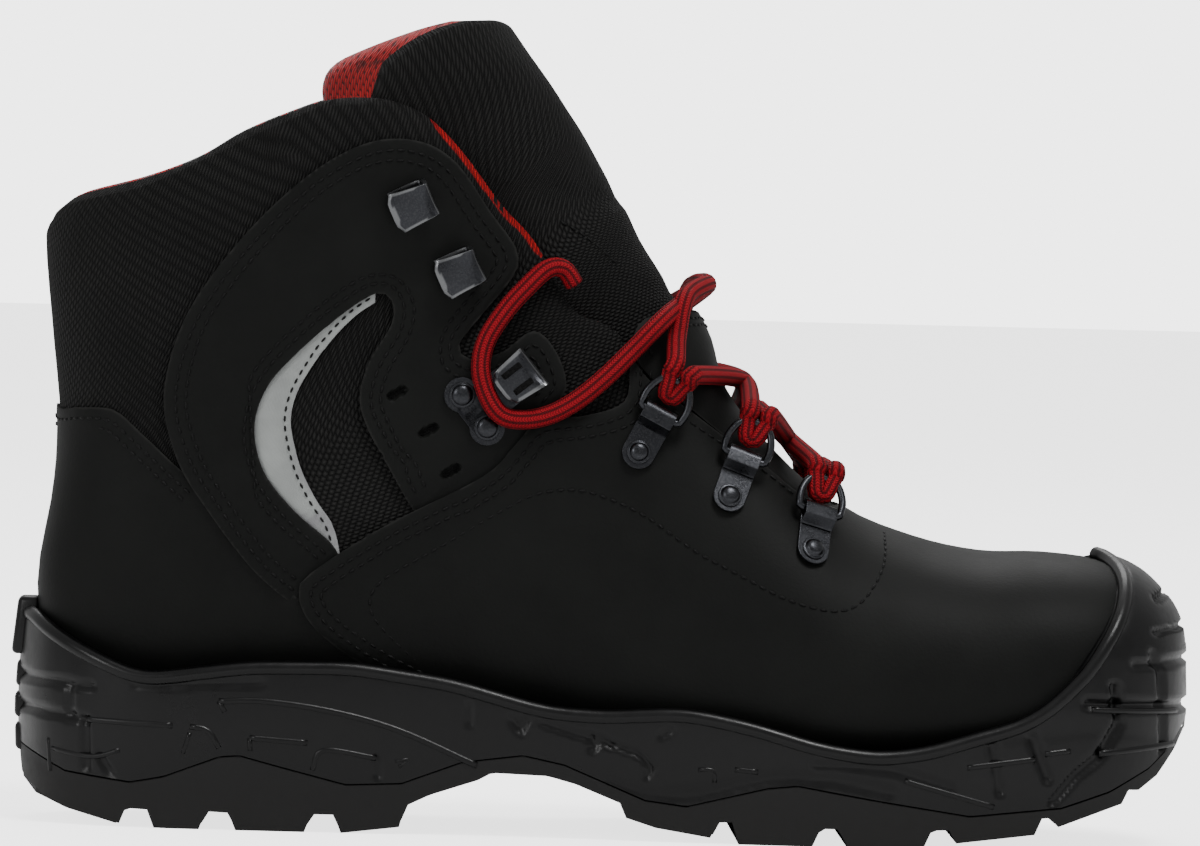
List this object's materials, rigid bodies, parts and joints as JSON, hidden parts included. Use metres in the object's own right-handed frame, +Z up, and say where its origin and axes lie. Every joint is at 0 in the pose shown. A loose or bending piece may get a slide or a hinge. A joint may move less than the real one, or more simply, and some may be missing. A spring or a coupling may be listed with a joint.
{
  "type": "safety shoe",
  "caption": "Ankle-high laced safety shoe for the left foot: hollow leather upper with padded textile collar, wrapped rubber toe cap, lugged sole, ring and hook lacing",
  "frame": {"origin": "centre of the shoe's box at floor height", "axes": "+X to the toe, +Y to the little toe side, +Z up"},
  "size_m": [0.3049, 0.112, 0.2129],
  "materials": {
    "outsole_rubber": "matte",
    "midsole_rubber": "semi-gloss",
    "upper_leather": "matte smooth",
    "insole_textile": "matte",
    "tongue_textile": "coarse weave",
    "overlay_leather": "matte smooth",
    "lace_braid": "braided",
    "reflector_film": "reflective film",
    "hardware_metal": "dark gunmetal, glossy"
  },
  "bodies": {
    "root": {"outsole": "outsole_rubber", "midsole": "midsole_rubber", "upper": "upper_leather", "insole": "insole_textile", "tongue": "tongue_textile", "heel_counter": "overlay_leather", "tongue_flap": "overlay_leather", "lace_bar": "lace_braid", "lace_cross_1": "lace_braid", "lace_cross_2": "lace_braid", "ankle_panel_inner": "overlay_leather", "reflector_inner": "reflector_film", "locking_hook_inner": "hardware_metal", "lace_end_inner": "lace_braid", "ring_plate_inner_1": "hardware_metal", "lace_ring_inner_1": "hardware_metal", "ring_plate_inner_2": "hardware_metal", "lace_ring_inner_2": "hardware_metal", "ring_plate_inner_3": "hardware_metal", "lace_ring_inner_3": "hardware_metal", "lace_hook_inner_upper": "hardware_metal", "lace_hook_inner_lower": "hardware_metal", "ankle_panel_outer": "overlay_leather", "reflector_outer": "reflector_film", "locking_hook_outer": "hardware_metal", "lace_end_outer": "lace_braid", "ring_plate_outer_1": "hardware_metal", "lace_ring_outer_1": "hardware_metal", "ring_plate_outer_2": "hardware_metal", "lace_ring_outer_2": "hardware_metal", "ring_plate_outer_3": "hardware_metal", "lace_ring_outer_3": "hardware_metal", "lace_hook_outer_upper": "hardware_metal", "lace_hook_outer_lower": "hardware_metal"}
  },
  "joints": []
}
